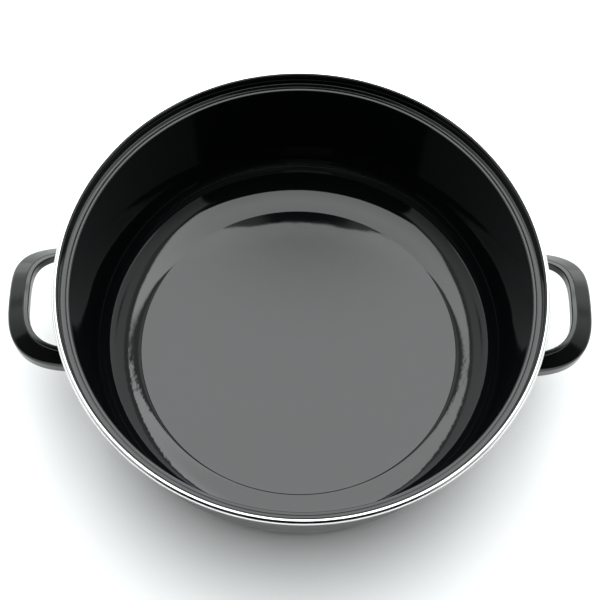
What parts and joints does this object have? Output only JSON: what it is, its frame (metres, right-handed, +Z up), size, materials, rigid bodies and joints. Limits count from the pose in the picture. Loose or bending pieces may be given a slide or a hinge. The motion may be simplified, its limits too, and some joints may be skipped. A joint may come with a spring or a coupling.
{
  "type": "water bath canner",
  "caption": "Open round enamelled steel canning pot with a stainless rim ring, a sunken flat floor and two bolted black loop handles.",
  "frame": {"origin": "centre of the flat standing face under the pot", "axes": "+Z up along the pot's axis, +X towards the right handle, -Y towards the front"},
  "size_m": [0.46, 0.382, 0.1349],
  "materials": {
    "enamel": "gloss",
    "stainless": "polished",
    "phenolic": "gloss",
    "zinc_steel": "satin",
    "brass": "satin"
  },
  "bodies": {
    "root": {"pot_body": "enamel", "rim_ring": "stainless", "handle_left": "phenolic", "handle_right": "phenolic", "handle_bracket_left_front": "enamel", "spring_washer_left_front": "zinc_steel", "handle_screw_left_front": "zinc_steel", "leg_insert_left_front": "brass", "handle_bracket_left_rear": "enamel", "spring_washer_left_rear": "zinc_steel", "handle_screw_left_rear": "zinc_steel", "leg_insert_left_rear": "brass", "handle_bracket_right_front": "enamel", "spring_washer_right_front": "zinc_steel", "handle_screw_right_front": "zinc_steel", "leg_insert_right_front": "brass", "handle_bracket_right_rear": "enamel", "spring_washer_right_rear": "zinc_steel", "handle_screw_right_rear": "zinc_steel", "leg_insert_right_rear": "brass"}
  },
  "joints": []
}
